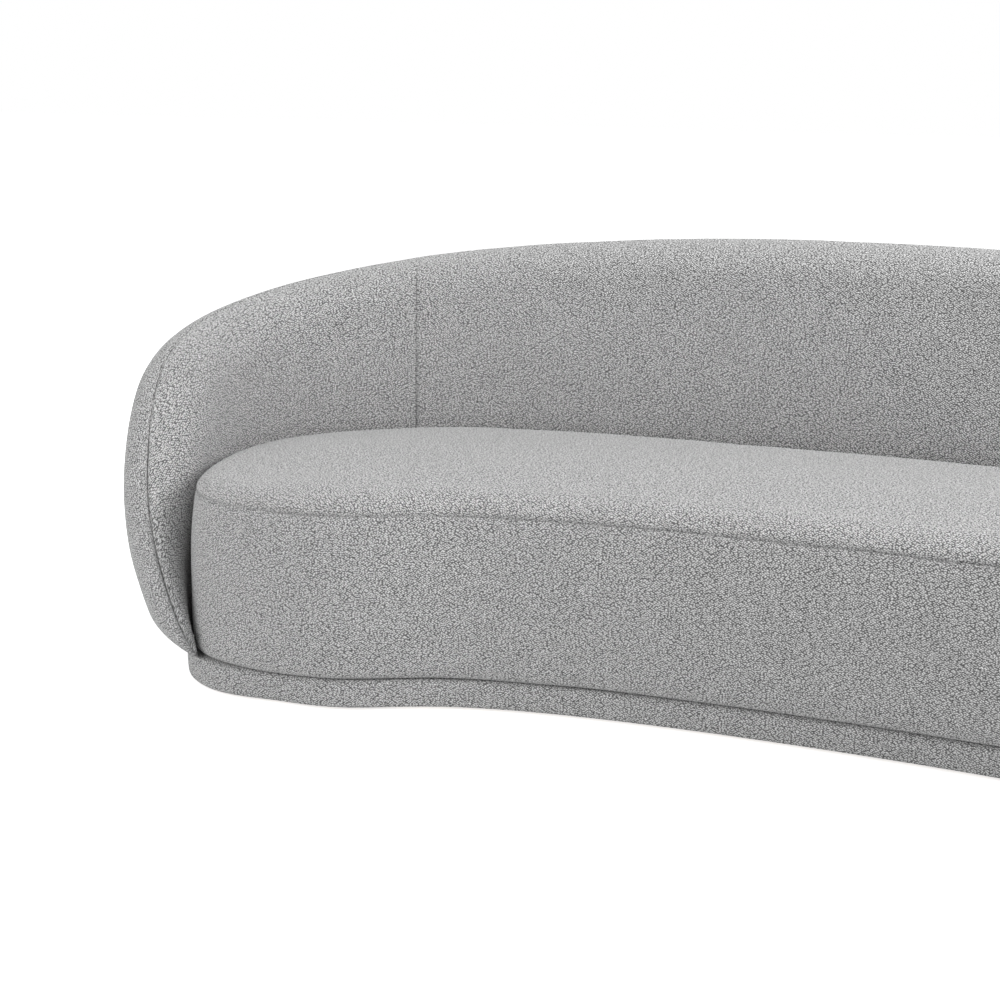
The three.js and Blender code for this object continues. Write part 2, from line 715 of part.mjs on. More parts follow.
function makeRib(name, distance) {
  const level = Math.min(levelUnder(distance - ply / 2, ribDepth), levelUnder(distance + ply / 2, ribDepth));
  const notchBottom = midRailBottom - fit;
  const notchTop = midRailBottom + midRailHeight + fit;
  const notchOut = midRailInner + midRailThick + fit;
  const inner = [];
  const outer = [];
  for (let i = 0; i <= ribRows; i += 1) {
    const z = ribBottom + (level - ribBottom) * (i / ribRows);
    outer.push(new THREE.Vector2(frameOuter(distance, z), z));
    if (z < notchBottom - slack || z > notchTop + slack) {
      inner.push(new THREE.Vector2(frameInner(z), z));
    }
  }
  const notch = [[frameInner(notchBottom), notchBottom], [notchOut, notchBottom],
    [notchOut, notchTop], [frameInner(notchTop), notchTop]].map(([out, z]) => new THREE.Vector2(out, z));
  const innerEdge = [...inner.filter((p) => p.y < notchBottom), ...notch, ...inner.filter((p) => p.y > notchTop)];
  const shape = new THREE.Shape([...outer, ...innerEdge.reverse()]);
  const slotBottom = notchTop + ribSlotMargin / 2;
  const slotTop = level - ribSlotMargin;
  if (slotTop > slotBottom + ribSlotWidth) {
    const middle = (z) => (frameInner(z) + frameOuter(distance, z)) / 2;
    const slot = new THREE.Path([
      new THREE.Vector2(middle(slotBottom), slotBottom),
      new THREE.Vector2(middle(slotBottom) + ribSlotWidth / 2, slotBottom + ribSlotWidth / 2),
      new THREE.Vector2(middle(slotTop) + ribSlotWidth / 2, slotTop - ribSlotWidth / 2),
      new THREE.Vector2(middle(slotTop), slotTop),
      new THREE.Vector2(middle(slotTop) - ribSlotWidth / 2, slotTop - ribSlotWidth / 2),
      new THREE.Vector2(middle(slotBottom) - ribSlotWidth / 2, slotBottom + ribSlotWidth / 2),
    ]);
    shape.holes.push(slot);
  }
  const geometry = new THREE.ExtrudeGeometry(shape, { depth: ply, bevelEnabled: false });
  geometry.translate(0, 0, -ply / 2);
  geometry.rotateX(Math.PI / 2);
  const mesh = add(name, geometry, timber);
  const place = placeAt(distance);
  mesh.position.set(place.x, place.y, 0);
  mesh.rotation.z = Math.atan2(place.ny, place.nx);
}

function makeWallFrame() {
  const places = frameDistances.map(placeAt);
  const innerLine = places.map((place) => offset(place, baseInner, 0));
  const outerLine = places.map((place, i) => offset(place, frameOuter(frameDistances[i], footLevel), 0));
  const holes = boltPlaces.map((place) => roundHole(place, boltRadius + fit));
  add('back_base_rail', board([...innerLine, ...outerLine.reverse()], holes, footLevel, ply), timber);
  add('back_mid_rail', lengthLoft(frameDistances, () => rectangle(midRailInner, midRailInner + midRailThick,
    midRailBottom, midRailBottom + midRailHeight)), timber);
  add('back_top_rail', lengthLoft(frameDistances, (distance) => {
    const top = levelUnder(distance, topRailDepth);
    const bottom = levelUnder(distance, topRailDepth + ply);
    const middle = (frameInner(top) + frameOuter(distance, top)) / 2;
    return rectangle(middle - topRailWidth / 2, middle + topRailWidth / 2, bottom, top);
  }), timber);
  ribDistances.forEach((distance, i) => makeRib(`back_rib_${i + 1}`, distance));
}

// Deck: the one board that carries the seat and the wall. Past the arm's foot it runs out
// under the wall.
function makeDeck() {
  const inset = skin + fit + slack;
  const seatEdge = -(footTuck + slack);
  const wideWays = foamWays.filter((way) => Math.min(way, 2 - way) > deckStartShare);
  const start = column(wideWays[0]);
  const wide = wideWays.map((way) => {
    const line = column(way);
    const foot = line.place(line.end);
    const distance = way > 1 ? 2 * halfLength - foot.x : foot.x;
    return offset(placeAt(distance), wallOut(line, 1, line.end, 0) - inset, 0);
  });
  const footStart = start.place(start.end).x;
  const front = stationDistances.concat(stationDistances.map((d) => d - 2 * halfLength))
    .filter((d) => Math.abs(d) < footStart - slack)
    .sort((a, b) => b - a)
    .filter((d, i, all) => i === 0 || Math.abs(d - all[i - 1]) > slack)
    .map((d) => offset(placeAt(d), seatEdge, 0));
  const turns = [offset(placeAt(-footStart), seatEdge, 0), offset(placeAt(footStart), seatEdge, 0)];
  const points = [turns[1], ...wide, turns[0], ...front.reverse()];
  const holes = boltPlaces.map((place) => roundHole(place, boltRadius + fit));
  add('base_deck', board(points, holes, deckBottom, ply), timber);
}

function makeBolts() {
  const headTop = deckBottom - fit;
  const profile = [[0, headTop - boltHead], [boltHeadRadius, headTop - boltHead], [boltHeadRadius, headTop],
    [boltRadius, headTop], [boltRadius, baseRailTop], [0, baseRailTop]];
  boltPlaces.forEach((place, i) => {
    const points = profile.map(([radius, z]) => new THREE.Vector2(radius, z));
    const geometry = new THREE.LatheGeometry(points, roundSides);
    geometry.rotateX(Math.PI / 2);
    const mesh = add(`back_bolt_${i + 1}`, geometry, steel);
    mesh.position.set(place.x, place.y, 0);
  });
}

// Plinth

const bandOuter = -(plinthPad + fit);
const bandInner = bandOuter - ply;
const bandMiddle = (bandInner + bandOuter) / 2;

// The plinth follows the seat at the front, and stands out where the wall rests on it.
function plinthOut(i) {
  const nose = stationDistances[frontSteps];
  const share = Math.min(Math.max((fromFront(i) - nose) / (armFront - nose), 0), 1);
  return plinthSpread * share * share * (3 - 2 * share);
}

const shifted = (section, out) => section.map((point) => [point[0] + out, point[1]]);
const plinthPoint = (i, out, z) => offset(stations[i], out + plinthOut(i), z);

function makePlinth() {
  const band = rectangle(bandInner, bandOuter, glideHeight, plinthTop);
  add('plinth_band', ringLoft((place, i) => shifted(band, plinthOut(i))), timber);
  plinthJoistSteps.forEach((step, i) => {
    const ends = [stationAt(step), partnerOf(step)].map((k) => plinthPoint(k, bandInner, 0));
    makeJoist(`plinth_joist_${i + 1}`, ends, glideHeight, plinthTop);
  });
  add('plinth_cover', ringLoft((place, i) => {
    const under = fromFront(i) > armFront + coverDropBehind;
    const top = under ? plinthTop : plinthTop + plinthRise;
    return shifted([[-plinthPad, glideHeight], [0, glideHeight], [0, top - plinthCorner], [-plinthCorner, top],
      [-plinthPad, top]], plinthOut(i));
  }), cloth);
  const thick = dustCoverThick;
  const edge = stations.map((place, i) => plinthPoint(i, bandMiddle - glideSet - glideRadius - slack, 0));
  add('dust_cover', board(edge, [], glideHeight - fit - thick, thick), strap);
}

function makeGlides() {
  const top = glideHeight - fit;
  const profile = [[0, 0], [glideRadius - glideHeight / 3, 0], [glideRadius, glideHeight / 3],
    [glideRadius, top], [0, top]];
  const spots = [...glideSteps.map(stationAt), ...glideSteps.map(partnerOf)];
  spots.forEach((station, i) => {
    const points = profile.map(([radius, z]) => new THREE.Vector2(radius, z));
    const geometry = new THREE.LatheGeometry(points, roundSides);
    geometry.rotateX(Math.PI / 2);
    const spot = plinthPoint(station, bandMiddle - glideSet, 0);
    const mesh = add(`glide_${i + 1}`, geometry, plastic);
    mesh.position.set(spot.x, spot.y, 0);
  });
}

makeGlides();
makePlinth();
makeDeck();
makeSeatRails();
seatJoistSteps.forEach((step, i) => {
  const ends = [stationAt(step), partnerOf(step)].map((k) => offset(stations[k], railInner, 0));
  makeJoist(`seat_joist_${i + 1}`, ends, footLevel, railTop - ply);
});
makeWebbing();
makeSeatFoam();
makeSeatCloth();
makeWallFrame();
makeBolts();
makeWallFoam();
makeWallCloth();

// The origin lies under the middle of the whole sofa.
const box = new THREE.Box3().setFromObject(sofa);
sofa.position.y = -(box.min.y + box.max.y) / 2;

export default sofa;
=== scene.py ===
"""A curved sofa in looped grey cloth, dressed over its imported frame.

Metres, +Z up, the front faces -Y. Lengths along the seat's outline are counted from the middle
of the front, round the left end, to the middle of the rear. Out is away from the seat.
"""
import math

import bpy
import numpy as np
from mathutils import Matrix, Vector


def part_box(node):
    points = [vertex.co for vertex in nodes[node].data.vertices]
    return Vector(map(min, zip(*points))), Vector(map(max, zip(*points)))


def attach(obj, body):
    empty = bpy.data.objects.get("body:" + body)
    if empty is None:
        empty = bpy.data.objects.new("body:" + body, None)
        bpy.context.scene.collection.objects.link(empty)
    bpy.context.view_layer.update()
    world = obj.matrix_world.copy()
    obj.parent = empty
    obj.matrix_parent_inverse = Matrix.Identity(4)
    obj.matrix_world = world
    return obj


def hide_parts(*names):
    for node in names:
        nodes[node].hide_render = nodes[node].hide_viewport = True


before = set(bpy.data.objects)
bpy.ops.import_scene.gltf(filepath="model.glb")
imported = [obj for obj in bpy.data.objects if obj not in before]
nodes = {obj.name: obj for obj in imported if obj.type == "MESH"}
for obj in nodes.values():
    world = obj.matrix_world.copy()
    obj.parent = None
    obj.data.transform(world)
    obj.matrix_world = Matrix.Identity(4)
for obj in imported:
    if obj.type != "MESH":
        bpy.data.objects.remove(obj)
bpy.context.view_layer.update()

MM = 0.001

# Seat outline, as in the solids
SEAT_HALF_LENGTH = 1.178
SEAT_DEPTH = 0.5
NOSE_REACH = 0.135
NOSE_PLACE_SHARE = 0.781
END_PLACE_SHARE = 0.2
FRONT_EASE_SHARES = (0.693, 0.215)
NOSE_EASE_SHARES = (0.165, 0.34)
REAR_EASE_SHARES = (0.64, 0.634)
CURVE_SAMPLES = 800
FRONT_STEPS = 60                 # from the middle of the front to the nose
NOSE_STEPS = 38                  # on to the end
REAR_STEPS = 92                  # on to the middle of the rear

# Levels
GLIDE_TOP = 0.006
DECK_BOTTOM = 0.0463
HEM_LEVEL = 0.0583
FOOT_LEVEL = 0.0646
WEBBING_TOP = 0.2486
SEAM_HEIGHT = 0.36
ROLL_HEIGHT = 0.4
CROWN_HEIGHT = 0.412
BACK_HEIGHT = 0.775
ARM_HEIGHT = 0.59

# Seat form
FOOT_TUCK = 0.012
FOOT_RISE = 0.02
NOSE_SWELL = 0.006
NOSE_SWELL_RISE = (-0.06, 0.06)  # from the nose
NOSE_SWELL_FALL = (0.2, 0.3)
HEM_LAP = (0.09, 0.12)           # behind the arm's front: the seat's foot rises onto the deck
BELLY_HEIGHT = 0.2
BELLY_SWELL = 0.006
BELLY_DROOP = 0.5                # under 1, so that the face swells most in its lower half
PRESS_RUN = (0.02, 0.15)         # behind the arm's front: the wall holds the face in
FOOT_ROWS = 7                    # of the face's section: round its foot, then up to the seam's turn
FACE_ROWS = 17
INNER_ROWS = 8
SEAM_SET = 0.016
ROLL_WIDTH = 0.066
REAR_ROLL_SHARE = 0.25
END_DROP = 0.012
END_DROP_RISE = (-0.05, 0.2)     # from the nose
END_DROP_FALL = (0.2, 0.65)      # from the end
SPINE_SHARE = 0.76
SPINE_BOW = 0.095
PAD_DEPTH = 0.0154
CUSHION_SET = 0.0166
CUSHION_SIDE_ROWS = 6
CUSHION_SIDE_TOP = 0.008         # below the seam
ROLL_SHARES = np.linspace(0.24, 1, 7)    # of the rolled edge's quarter turn
CROWN_SHARES = (0.06, 0.13, 0.21, 0.3, 0.4, 0.5, 0.6, 0.7, 0.79, 0.87, 0.94, 0.98)

# Cloth and its filling
FLAT_CLOTH = "flat_cloth"
FILLING_WAVES = "filling_broad"
WAVE_SIZE = 0.16
WAVE_HEIGHT = 0.003
LOOP_SIZE = (0.003, 0.002)
LOOP_UNEVENNESS = 0.62
LOOP_FUZZ = 0.3
# Painted shade: the cloth's colour runs from this near-black in the hollows between loops to the light grey
# of their tops
LOOP_PAINTED_SHADE = 0.03
LOOP_LIGHT = 0.95
LOOP_DRIFT = 0.004
LOOP_DRIFT_SCALE = 70.0
LOOP_FIBRE_SCALE = 900.0
LOOP_ROUND_SHARE = 0.8           # of the height, beside the fibres
LOOP_EACH_SHARE = 0.14           # of the tone, which differs from loop to loop
LOOP_TONE_RANGE = (0.1, 0.85)
LOOP_BUMP = 0.0014

# Seams: the cloth turns in beside the stitches
SEAM_GAP = 0.0003
SEAM_TURN = 0.008
SEAM_DEPTH = 0.0035
PANEL_SEAM_DEPTH = 0.006
SEAM_STEPS = (0.0, 0.0015, 0.004, 0.0075, 0.012)

# Wall form
SEAT_GAP = 0.004
WALL_LEAN = 0.068
LEAN_BOW = 1.3
WALL_FOOT = 0.108
ARM_FOOT = 0.054
ARM_TAPER = 0.42
WALL_TOP = 0.19
WALL_TUCK = 0.034
WALL_TUCK_RISE = 0.07
HEM_RAISE = (0.095, 0.125)       # behind the arm's front: the outer cloth's foot drops past the deck
RAISED_HEM = 0.064
INNER_FOOT = 0.0588              # the arm's inner cloth goes down to the plinth's
INNER_FOOT_RUN = (0.12, 0.142)
ARM_FRONT_SHARE = 0.405
ARM_SHOULDER_SHARE = 0.5178
ARM_EASE_SHARES = (0.0203, 0.261, 0.061, 0.175)
BACK_EASE_SHARES = (0.0592, 0.164, 0.279)
TIP_SETBACK = 0.02               # the arm's front edge rounds back at its foot
TIP_HEIGHT = 0.06
ARM_FAN = 0.12
ARM_FAN_SHARE = 0.5
PANEL_SEAM_WAY = 13 / 24
ARM_OPENING = 0.013              # the arm's front edge stands off the seat
OPENING_LENGTH = 0.2
WALL_PAD = 0.018
PAD_LIMIT_SHARE = 0.3            # of a section's depth, near the arm's foot, as the next two are
ROLL_LIMIT_SHARE = 0.7
SEAM_LIMIT_SHARE = 0.25
FILLING_DEPTH_SHARE = 1.2        # of the padding's thickness, at least
HEM_WIDTH = 0.022
HEM_THICK = 0.008
CLOTH_ROWS = (9, 36)             # over the wall's rounded crest, and down its face
FILLING_ROWS = (4, 8)
WALL_START_WAY = 0.012           # the first column's, since the wall has no depth at the arm's foot
COLUMN_STEP = 0.017
INNER_STRETCH_OUT = 0.02         # how far out from the outline the flat cloth's length is taken
OUTER_STRETCH_OUT = 0.13

# Plinth form
PLINTH_TOP = 0.046
PLINTH_RISE = 0.012
PLINTH_SPREAD = 0.0175           # how much wider it grows towards the arm
PLINTH_CORNER = 0.011
ARM_LEDGE_CORNER = 0.003         # under the arm, where its foot stands on the edge
CORNER_RUN = 0.04
CORNER_ROWS = 5
PLINTH_BOW = 0.0012
PLINTH_PAD = 0.008
PLINTH_FACE_SHARES = (0.02, 0.12, 0.3, 0.5, 0.7, 0.86, 1.0)
PLINTH_LEDGE = 0.021
LEDGE_SHARES = (0.35, 0.7, 1.0)
LEDGE_FALL = 0.0006
LEDGE_THICK = 0.003
LEDGE_DROP = (0.1, 0.135)        # behind the arm's front: its top steps down under the deck

# Colours
WOOD_DARK = (0.36, 0.22, 0.11, 1)
WOOD_LIGHT = (0.66, 0.47, 0.28, 1)
PLASTIC_BLACK = (0.02, 0.02, 0.02, 1)
ZINC = (0.6, 0.6, 0.6, 1)

# Studio
FLOOR_HALF_SIZE = 14.0
FLOOR_GREY = 0.85
FLOOR_GLOW = 0.75
SKY_LIGHT = 0.35
LAMPS = (                        # name, place, target, size, power
    ("overhead", (0.0, 0.0, 3.4), (0, 0, 0.3), (3.0, 2.0), 43),
    ("left", (-2.4, -2.4, 1.6), (-0.5, 0, 0.4), (2.0, 2.0), 48),
    ("right", (3.0, -0.3, 2.4), (0, 0, 0.4), (2.0, 2.0), 120),
    ("rear", (-2.2, 2.4, 2.4), (-0.3, 0, 0.4), (2.0, 2.0), 30),
)
SENSOR_WIDTH = 36                # millimetres, as the lens
LENS = 57.6
CAMERA_TURN = math.radians(20)   # to the sofa's front right
CAMERA_TILT = math.atan2(490, 1600)
CAMERA_SIDE = 0.3527
CAMERA_BACK = 2.494
CAMERA_HEIGHT = 1.2


def smooth(share):
    """A step from 0 to 1 without corners."""
    share = np.clip(share, 0, 1)
    return share * share * (3 - 2 * share)


def rise_over(value, run):
    """A soft step from 0 at the start of a run to 1 at its end."""
    return smooth((value - run[0]) / (run[1] - run[0]))


# The seat's outline

def bezier(points, count):
    """A cubic through four control points, as count places."""
    share = np.linspace(0, 1, count)[:, None]
    left = 1 - share
    weights = (left ** 3, 3 * left ** 2 * share, 3 * left * share ** 2, share ** 3)
    return sum(weight * np.array(point, float) for weight, point in zip(weights, points))


def walk_along(line):
    """Distance walked at each place of a line."""
    steps = np.linalg.norm(np.diff(line, axis=0), axis=1)
    return np.concatenate([[0], np.cumsum(steps)])


def left_outline():
    """The outline's left half, and where its nose and its end lie along it."""
    length, depth = SEAT_HALF_LENGTH, SEAT_DEPTH
    front = (0, 0)
    nose = (-NOSE_PLACE_SHARE * length, -NOSE_REACH)
    end = (-length, END_PLACE_SHARE * depth)
    rear = (0, depth)
    leave_front = (-FRONT_EASE_SHARES[0] * length, 0)
    reach_nose = (nose[0] + FRONT_EASE_SHARES[1] * length, nose[1])
    leave_nose = (nose[0] - NOSE_EASE_SHARES[0] * length, nose[1])
    reach_end = (end[0], end[1] - NOSE_EASE_SHARES[1] * depth)
    leave_end = (end[0], end[1] + REAR_EASE_SHARES[0] * depth)
    reach_rear = (-REAR_EASE_SHARES[1] * length, rear[1])
    curves = (
        (front, leave_front, reach_nose, nose),
        (nose, leave_nose, reach_end, end),
        (end, leave_end, reach_rear, rear),
    )
    pieces = [bezier(curve, CURVE_SAMPLES) for curve in curves]
    line = np.concatenate([pieces[0], pieces[1][1:], pieces[2][1:]])
    walked = walk_along(line)
    return line, walked, walked[CURVE_SAMPLES - 1], walked[2 * CURVE_SAMPLES - 2]


OUTLINE, WALKED, NOSE_AT, END_AT = left_outline()
HALF = WALKED[-1]
ARM_FRONT_AT = ARM_FRONT_SHARE * HALF
ALONG = np.gradient(OUTLINE, WALKED, axis=0)
ALONG /= np.linalg.norm(ALONG, axis=1)[:, None]
# The solids' origin lies under the middle of the sofa, so the outline moves with the seat's box.
FRONT_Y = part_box("seat_border_cover")[0].y + NOSE_REACH


def fold(distance):
    """Distances on the mirrored half, counted on the left one."""
    turned = np.mod(distance, 2 * HALF)
    return np.where(turned > HALF, 2 * HALF - turned, turned)


def behind_arm(distance):
    """How far along the outline a place lies behind the front edge of its arm."""
    return fold(distance) - ARM_FRONT_AT


def spots(distance, out, height):
    """Points in space from distances along the outline, distances out from it and heights."""
    distance, out, height = np.broadcast_arrays(distance, out, height)
    near = fold(distance)
    side = np.where(np.mod(distance, 2 * HALF) > HALF, -1.0, 1.0)
    x, y = (np.interp(near, WALKED, OUTLINE[:, k]) for k in (0, 1))
    along_x, along_y = (np.interp(near, WALKED, ALONG[:, k]) for k in (0, 1))
    return np.stack([side * (x - out * along_y), FRONT_Y + y + out * along_x, height], axis=-1)


def normal_y(distance):
    """How much the way out from the outline points to the rear, from -1 to 1."""
    return np.interp(fold(distance), WALKED, ALONG[:, 0])


def seat_stations(front, nose, rear):
    """Distances round the whole seat, as many along the front as along the rear."""
    half = np.concatenate([
        np.linspace(0, NOSE_AT, front, endpoint=False),
        np.linspace(NOSE_AT, END_AT, nose, endpoint=False),
        np.linspace(END_AT, HALF, rear, endpoint=False),
    ])
    return np.concatenate([half, [HALF], 2 * HALF - half[:0:-1]])


# Meshes

def signed_volume(points, faces):
    """Six times the volume inside closed faces, below zero where they face inwards."""
    total = 0.0
    for face in faces:
        for k in range(1, len(face) - 1):
            a, b, c = points[face[0]], points[face[k]], points[face[k + 1]]
            total += float(np.dot(a, np.cross(b, c)))
    return total


def make_mesh(name, points, faces, laid):
    """A smooth closed piece, with one subdivision. Laid gives each face corner's place on flat cloth."""
    points = np.asarray(points, float)
    if signed_volume(points, faces) < 0:
        faces = [face[::-1] for face in faces]
        laid = [corners[::-1] for corners in laid]
    mesh = bpy.data.meshes.new(name)
    mesh.from_pydata(points.tolist(), [], faces)
    flat_cloth = mesh.uv_layers.new(name=FLAT_CLOTH)
    flat_places = np.concatenate([np.asarray(corners, float) for corners in laid])
    flat_cloth.data.foreach_set("uv", flat_places.ravel())
    mesh.validate()
    mesh.shade_smooth()
    piece = bpy.data.objects.new(name, mesh)
    bpy.context.scene.collection.objects.link(piece)
    rounding = piece.modifiers.new("rounding", "SUBSURF")
    rounding.levels = rounding.render_levels = 1
    return piece


def grid(places, laid, closed):
    """Quads over rows of points whose columns close on themselves, and whose rows do too where closed.
    Laid then has one row more, which repeats the first one further along the cloth."""
    rows, columns = places.shape[:2]
    faces = []
    corners = []
    for i in range(rows if closed else rows - 1):
        here, there = i * columns, ((i + 1) % rows) * columns
        for j in range(columns):
            k = (j + 1) % columns
            faces.append((here + j, there + j, there + k, here + k))
            corners.append((laid[i, j], laid[i + 1, j], laid[i + 1, k], laid[i, k]))
    return faces, corners


def run_along(rows):
    """Distance walked along each row of points."""
    steps = np.linalg.norm(np.diff(rows, axis=1), axis=2)
    return np.concatenate([np.zeros((len(rows), 1)), np.cumsum(steps, axis=1)], axis=1)


def band_cloth(rings, distance, out):
    """Flat cloth for a band that goes round the seat: length at a distance out, and height along the band."""
    length = walk_along(spots(np.append(distance, 2 * HALF), out, 0.0))
    up = run_along(rings)
    up = np.concatenate([up, up[:1]])
    return np.stack([np.broadcast_to(length[:, None], up.shape), up], axis=2)


def soft_waves(piece):
    """Slight unevenness of filling under cloth, from a fixed cloud pattern."""
    clouds = bpy.data.textures.get(FILLING_WAVES) or bpy.data.textures.new(FILLING_WAVES, "CLOUDS")
    clouds.noise_scale = WAVE_SIZE
    clouds.noise_depth = 1
    waves = piece.modifiers.new(FILLING_WAVES, "DISPLACE")
    waves.texture = clouds
    waves.texture_coords = "GLOBAL"
    waves.strength = WAVE_HEIGHT
    waves.mid_level = 0.5


def turn_in(distance, depth=SEAM_DEPTH):
    """How far cloth sinks beside a seam, at a distance from the stitches."""
    share = np.clip(1 - np.asarray(distance) / SEAM_TURN, 0, 1)
    return depth * share ** 2


# Seat

def face_out(height):
    """How far the seat's tall face stands out, from its foot to the seam."""
    above = np.clip((height - BELLY_HEIGHT) / (SEAM_HEIGHT - BELLY_HEIGHT), 0, 1)
    return -SEAM_SET * above ** 2


def foot_swell(distance):
    """How far the foot of the face stands further out round each end."""
    near = fold(distance) - NOSE_AT
    return NOSE_SWELL * rise_over(near, NOSE_SWELL_RISE) * (1 - rise_over(near, NOSE_SWELL_FALL))


def low_share(height):
    """From 1 at the foot of the face to 0 at its belly."""
    return 1 - smooth((height - FOOT_LEVEL - FOOT_RISE) / (BELLY_HEIGHT - FOOT_LEVEL - FOOT_RISE))


def belly_out(distance, height):
    """How far the face swells where no wall presses on it, most of all round each end."""
    pressed = rise_over(behind_arm(distance), PRESS_RUN)
    whole = np.clip((height - FOOT_LEVEL) / (SEAM_HEIGHT - FOOT_LEVEL), 0, 1)
    swell = BELLY_SWELL * np.sin(math.pi * whole ** BELLY_DROOP)
    return (swell + foot_swell(distance) * low_share(height)) * (1 - pressed)


def border_profile():
    """Section of the seat's padded face: outside from foot to seam, then back down inside."""
    turn = np.linspace(0, math.pi / 2, FOOT_ROWS)
    foot_height = FOOT_LEVEL + FOOT_RISE * (1 - np.cos(turn))
    foot = np.stack([-FOOT_TUCK * (1 - np.sin(turn)), foot_height], 1)
    low = FOOT_LEVEL + FOOT_RISE
    height = np.linspace(low, SEAM_HEIGHT - SEAM_STEPS[-1], FACE_ROWS)[1:]
    face = np.stack([face_out(height), height], 1)
    edge = np.array(SEAM_STEPS[-2::-1])
    edge_height = SEAM_HEIGHT - SEAM_GAP - edge
    lip = np.stack([face_out(edge_height) - turn_in(edge), edge_height], 1)
    inner_height = np.linspace(SEAM_HEIGHT - SEAM_GAP, FOOT_LEVEL + 2 * MM, INNER_ROWS)
    inner = np.stack([np.full(INNER_ROWS, -PAD_DEPTH), inner_height], 1)
    return np.concatenate([foot, face, lip, inner])


def make_seat_border():
    """The seat's tall face, whose foot drops past the deck where no wall stands before it."""
    distance = seat_stations(FRONT_STEPS, NOSE_STEPS, REAR_STEPS)
    profile = border_profile()
    lower = 1 - rise_over(behind_arm(distance), HEM_LAP)
    near_foot = np.clip(1 - (profile[:, 1] - FOOT_LEVEL) / FOOT_RISE, 0, 1)
    height = profile[None, :, 1] - (FOOT_LEVEL - HEM_LEVEL) * lower[:, None] * near_foot[None, :]
    outside = np.arange(len(profile)) < len(profile) - INNER_ROWS
    out = profile[None, :, 0] + belly_out(distance[:, None], profile[None, :, 1]) * outside[None, :]
    rings = spots(distance[:, None], out, height)
    faces, laid = grid(rings, band_cloth(rings, distance, 0.0), True)
    piece = make_mesh("seat_border", rings.reshape(-1, 3), faces, laid)
    soft_waves(piece)
    return piece


def end_drop(distance):
    """How much lower the seat's edge lies round each end, where the cushion rounds off."""
    near = fold(distance)
    return END_DROP * rise_over(near - NOSE_AT, END_DROP_RISE) * (1 - rise_over(near - END_AT, END_DROP_FALL))


def top_ring(distance, turn, ridge_share, draw_in=0.0):
    """One ring of the seat's top, turning over the rolled edge or drawn towards the crown's ridge."""
    narrow = 1 + (REAR_ROLL_SHARE - 1) * (1 + normal_y(distance)) / 2
    out = -SEAM_SET - ROLL_WIDTH * narrow * (1 - math.cos(turn)) - draw_in
    drop = end_drop(distance)
    rise = (CROWN_HEIGHT - ROLL_HEIGHT + drop) * (1 - (1 - ridge_share) ** 2)
    height = SEAM_HEIGHT + SEAM_GAP + (ROLL_HEIGHT - SEAM_HEIGHT - drop) * math.sin(turn) + rise
    edge = spots(distance, out, height)
    ridge_x = edge[:, 0] * SPINE_SHARE
    bow = SPINE_BOW * (ridge_x / (SPINE_SHARE * SEAT_HALF_LENGTH)) ** 2
    ridge = np.stack([ridge_x, FRONT_Y + SEAT_DEPTH / 2 - bow, edge[:, 2]], 1)
    return edge + (ridge - edge) * ridge_share


def make_seat_top():
    """The seat's cushion: foam down to the webbing, rolled edge and crowned top."""
    half = FRONT_STEPS + NOSE_STEPS
    distance = seat_stations(FRONT_STEPS, NOSE_STEPS, half)
    count = len(distance)
    side_heights = np.linspace(WEBBING_TOP + MM, SEAM_HEIGHT - CUSHION_SIDE_TOP, CUSHION_SIDE_ROWS)
    rings = [spots(distance, -CUSHION_SET, np.full(count, z)) for z in side_heights]
    turn = math.pi / 2
    for step in SEAM_STEPS[:-1]:
        share = step / (turn * (ROLL_HEIGHT - SEAM_HEIGHT))
        rings.append(top_ring(distance, turn * share, 0, draw_in=float(turn_in(step))))
    for share in ROLL_SHARES:
        rings.append(top_ring(distance, turn * share, 0))
    edge = len(rings) - 1
    for share in CROWN_SHARES:
        rings.append(top_ring(distance, turn, share))
    rings = np.array(rings)
    # As flat cloth the crown is seen from above, with the rolled edge laid out beyond it.
    flat = rings[:, :, :2].copy()
    away = rings[0, :, :2] - rings[edge, :, :2]
    away /= np.linalg.norm(away, axis=1)[:, None]
    beyond = run_along(rings[edge::-1].transpose(1, 0, 2)).T[::-1]
    flat[:edge + 1] = rings[edge, :, :2] + beyond[:, :, None] * away
    faces, laid = grid(rings, flat, False)
    for level, order in ((0, -1), (len(rings) - 1, 1)):
        for k in range(-half, half):
            strip = (-k, -k - 1, 2 * half + k + 1, 2 * half + k)
            strip = list(dict.fromkeys(n % count for n in strip))[::order]
            faces.append(tuple(level * count + n for n in strip))
            laid.append([flat[level, n] for n in strip])
    piece = make_mesh("seat_top", rings.reshape(-1, 3), faces, laid)
    soft_waves(piece)
    return piece


# Back and arm wall

def crest_line():
    """The wall's upper edge as (distance, height), from the arm's foot to the middle of the back."""
    foot = np.array([ARM_FRONT_AT, DECK_BOTTOM])
    shoulder = np.array([ARM_SHOULDER_SHARE * HALF, ARM_HEIGHT])
    middle = np.array([HALF, BACK_HEIGHT])
    size = np.array([HALF, ARM_HEIGHT])
    rise, back = ARM_EASE_SHARES, BACK_EASE_SHARES
    arm = bezier((foot, foot + size * rise[:2], shoulder - size * rise[2:], shoulder), CURVE_SAMPLES)
    arm[:, 0] += TIP_SETBACK * (1 - smooth((arm[:, 1] - DECK_BOTTOM) / TIP_HEIGHT))
    top = bezier((shoulder, shoulder + size * back[:2], middle - size * (back[2], 0), middle), CURVE_SAMPLES)
    return np.concatenate([arm, top[1:]])


CREST = crest_line()
CREST_WALKED = walk_along(CREST)
CREST_LENGTH = CREST_WALKED[-1]
CREST_ALONG = np.gradient(CREST, CREST_WALKED, axis=0)
CREST_ALONG /= np.linalg.norm(CREST_ALONG, axis=1)[:, None]


